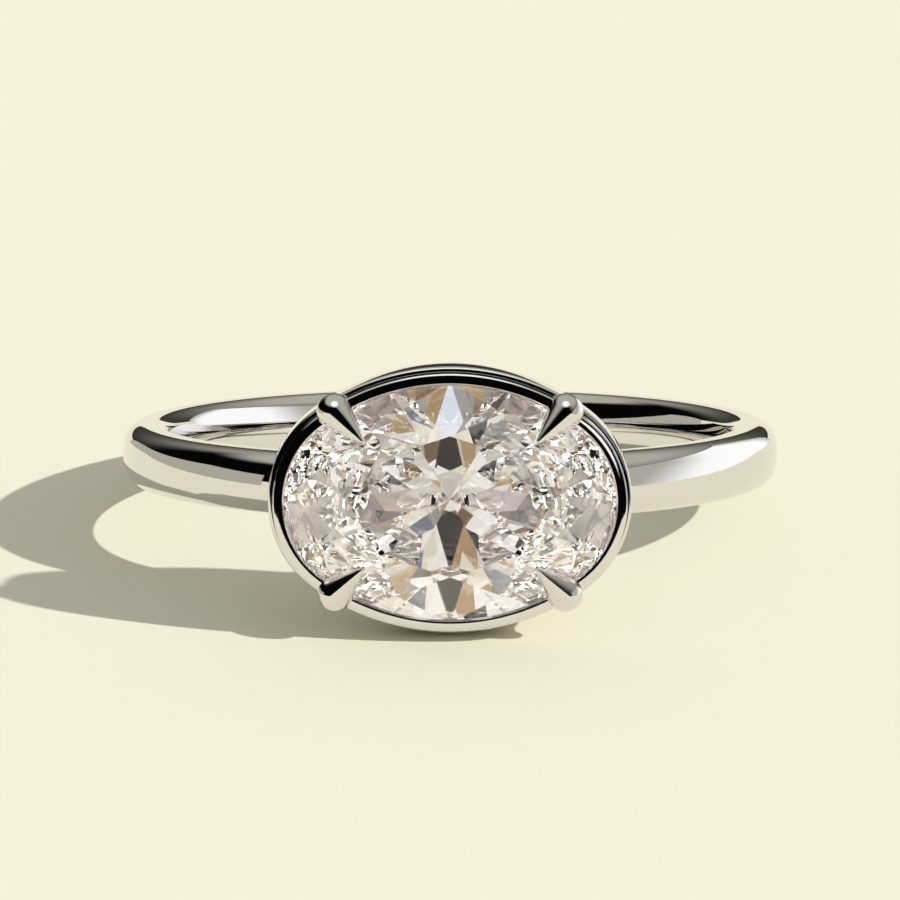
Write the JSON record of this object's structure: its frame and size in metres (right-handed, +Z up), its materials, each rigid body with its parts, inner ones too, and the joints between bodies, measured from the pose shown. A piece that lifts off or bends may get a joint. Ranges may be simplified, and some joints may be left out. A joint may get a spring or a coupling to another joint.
{
  "type": "east west ring",
  "caption": "Finger ring: a plain polished band carries a faceted oval stone set crosswise in a stepped oval bezel with pointed claws. It lies on its side.",
  "frame": {"origin": "centre of the finger hole, on the finger's axis and at the middle of the band's width", "axes": "+Z up from the surface that the ring lies on, -Y from the finger hole towards the stone, X along the stone's length; the finger's axis leans from +Z towards +Y by the resting tilt"},
  "size_m": [0.0194, 0.0229, 0.0074],
  "materials": {
    "metal": "white gold, mirror polished, with faint wear",
    "stone": "clear brilliant cut oval, colourless"
  },
  "bodies": {
    "root": {"ring_mount": "metal", "stone": "stone"}
  },
  "joints": []
}
